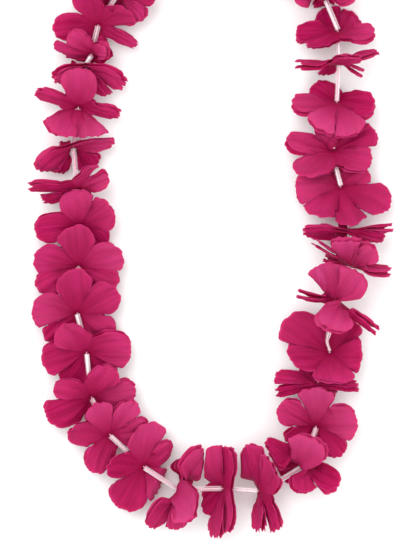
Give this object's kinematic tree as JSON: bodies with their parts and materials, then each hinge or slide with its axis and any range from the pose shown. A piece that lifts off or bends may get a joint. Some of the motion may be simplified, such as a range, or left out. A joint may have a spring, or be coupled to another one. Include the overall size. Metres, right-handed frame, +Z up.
{
  "type": "artificial flower lei",
  "caption": "Closed garland of artificial fabric blossoms and clear spacer straws threaded on a cord, laid flat in a long loop to be worn round the neck.",
  "frame": {"origin": "middle of the lei's footprint, on the surface that it lies on", "axes": "+Z up from the surface, +Y along the loop's long way towards its arched end, +X across it"},
  "size_m": [0.2306, 0.4186, 0.0441],
  "materials": {
    "petal_fabric": "satin polyester, hot pink, softly pleated",
    "clear_straw": "clear drinking-straw plastic over a white thread"
  },
  "bodies": {
    "root": {"strand": "clear_straw", "bloom_01": "petal_fabric", "bloom_02": "petal_fabric", "bloom_03": "petal_fabric", "bloom_04": "petal_fabric", "bloom_05": "petal_fabric", "bloom_06": "petal_fabric", "bloom_07": "petal_fabric", "bloom_08": "petal_fabric", "bloom_09": "petal_fabric", "bloom_10": "petal_fabric", "bloom_11": "petal_fabric", "bloom_12": "petal_fabric", "bloom_13": "petal_fabric", "bloom_14": "petal_fabric", "bloom_15": "petal_fabric", "bloom_16": "petal_fabric", "bloom_17": "petal_fabric", "bloom_18": "petal_fabric", "bloom_19": "petal_fabric", "bloom_20": "petal_fabric", "bloom_21": "petal_fabric", "bloom_22": "petal_fabric", "bloom_23": "petal_fabric", "bloom_24": "petal_fabric", "bloom_25": "petal_fabric", "bloom_26": "petal_fabric", "bloom_27": "petal_fabric", "bloom_28": "petal_fabric", "bloom_29": "petal_fabric", "bloom_30": "petal_fabric", "bloom_31": "petal_fabric", "bloom_32": "petal_fabric", "bloom_33": "petal_fabric", "bloom_34": "petal_fabric", "bloom_35": "petal_fabric", "bloom_36": "petal_fabric"}
  },
  "joints": []
}
